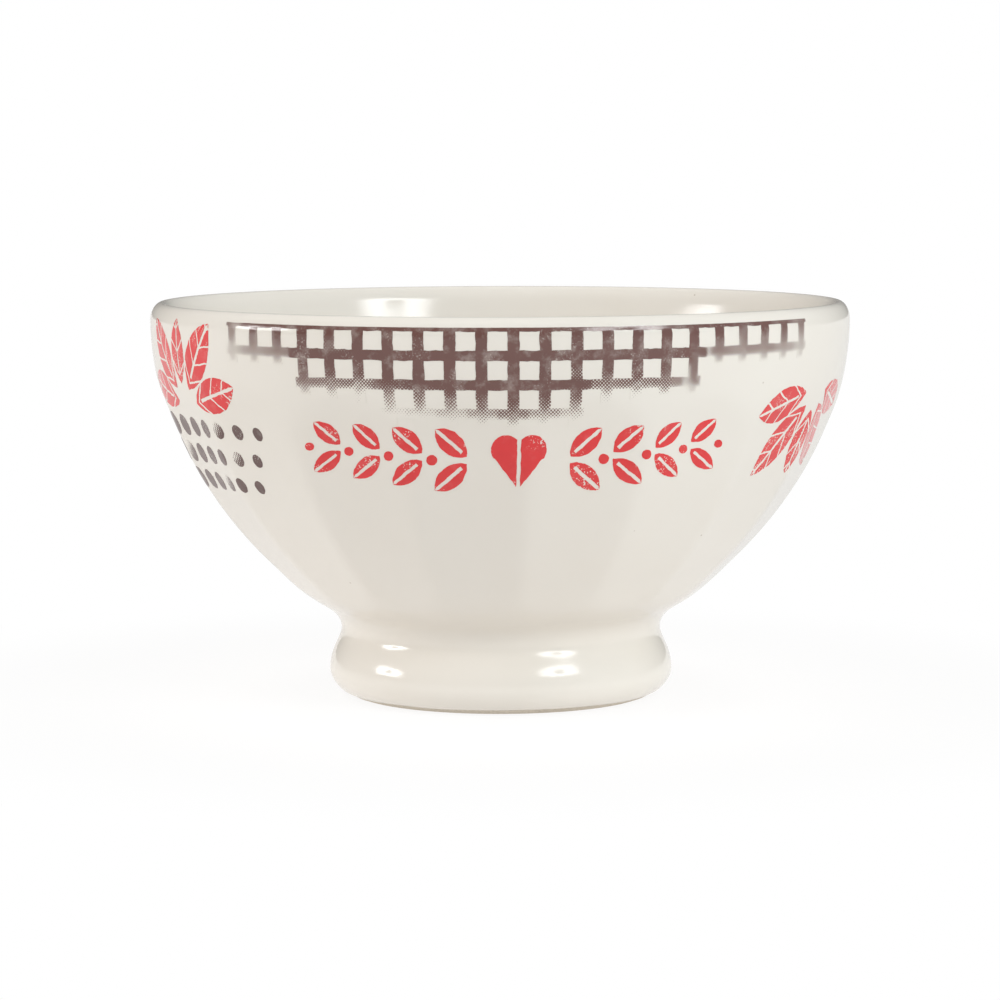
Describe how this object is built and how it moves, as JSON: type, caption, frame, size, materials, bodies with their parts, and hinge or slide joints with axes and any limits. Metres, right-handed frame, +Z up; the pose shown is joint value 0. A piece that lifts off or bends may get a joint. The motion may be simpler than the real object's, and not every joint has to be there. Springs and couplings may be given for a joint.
{
  "type": "bowl",
  "caption": "Footed round breakfast bowl with a rounded lip, a lower wall pressed into flat facets, a hollow foot ring, glaze coats and printed decoration.",
  "frame": {"origin": "on the surface that the bowl stands on, under the centre of the foot", "axes": "+Z up, -Y towards the front of the decoration, +X to the right as seen from the front"},
  "size_m": [0.14, 0.1402, 0.0794],
  "materials": {
    "clay": "dry fired clay, matt",
    "cream_glaze": "glossy cream glaze",
    "brown_print": "brown print under gloss",
    "grey_print": "grey print under gloss",
    "red_print": "red print under gloss"
  },
  "bodies": {
    "root": {"bowl_wall": "clay", "foot_ring": "clay", "outer_glaze": "cream_glaze", "inner_glaze": "cream_glaze", "foot_well_glaze": "cream_glaze", "front_check_print": "brown_print", "back_check_print": "brown_print", "front_garland_print": "red_print", "back_garland_print": "red_print", "left_leaf_print": "red_print", "right_leaf_print": "red_print", "left_dot_print": "grey_print", "right_dot_print": "grey_print"}
  },
  "joints": []
}
